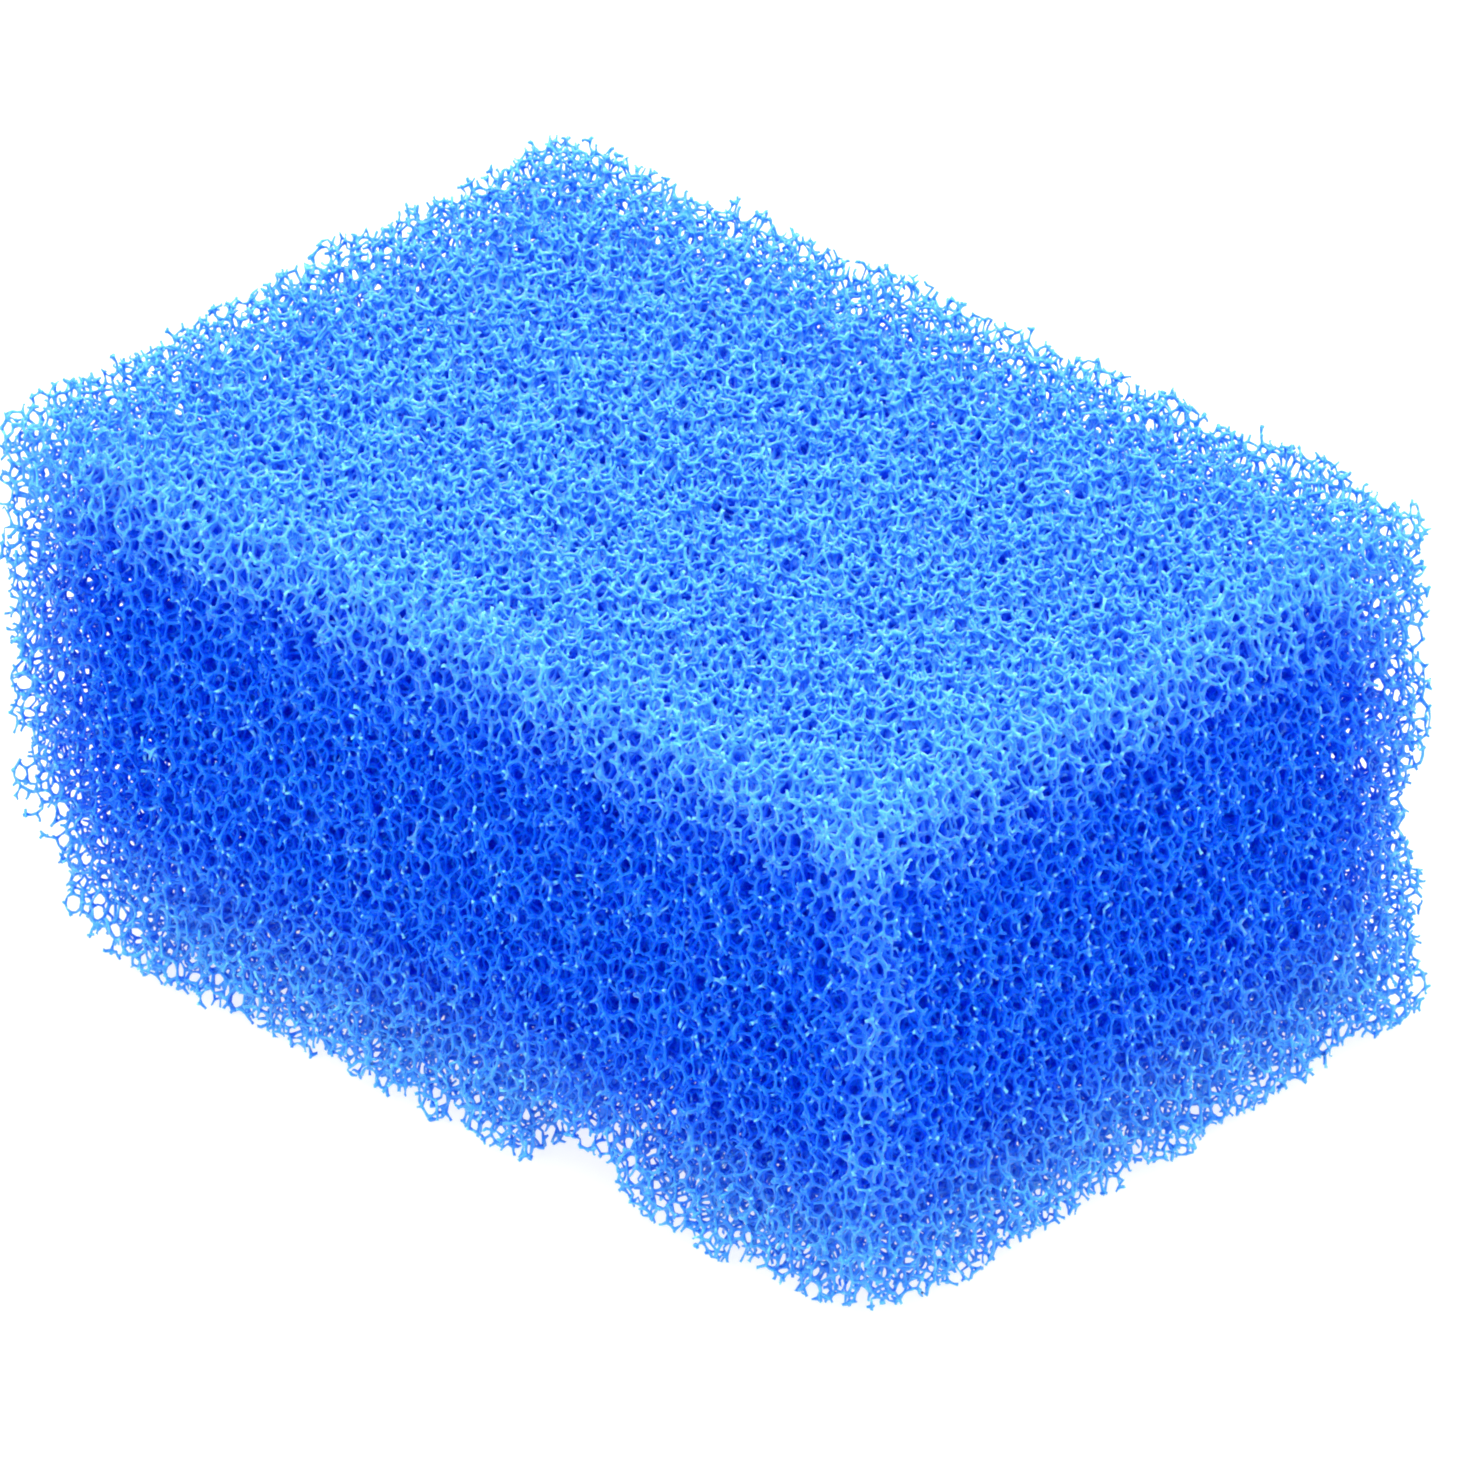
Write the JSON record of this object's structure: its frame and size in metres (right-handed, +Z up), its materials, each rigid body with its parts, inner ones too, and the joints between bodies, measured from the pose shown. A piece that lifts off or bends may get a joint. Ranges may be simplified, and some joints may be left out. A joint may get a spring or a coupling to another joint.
{
  "type": "filter foam block",
  "caption": "Rectangular block of coarse open-cell filter foam with a low channel across its underside, for an aquarium or pond filter.",
  "frame": {"origin": "centre of the block's bounding box at its underside, the face it rests on", "axes": "+X along the long side, away from the end whose lower edge is cut back; +Y along the short side; +Z up"},
  "size_m": [0.16, 0.111, 0.08],
  "materials": {
    "foam": "satin"
  },
  "bodies": {
    "root": {"foam_block": "foam"}
  },
  "joints": []
}
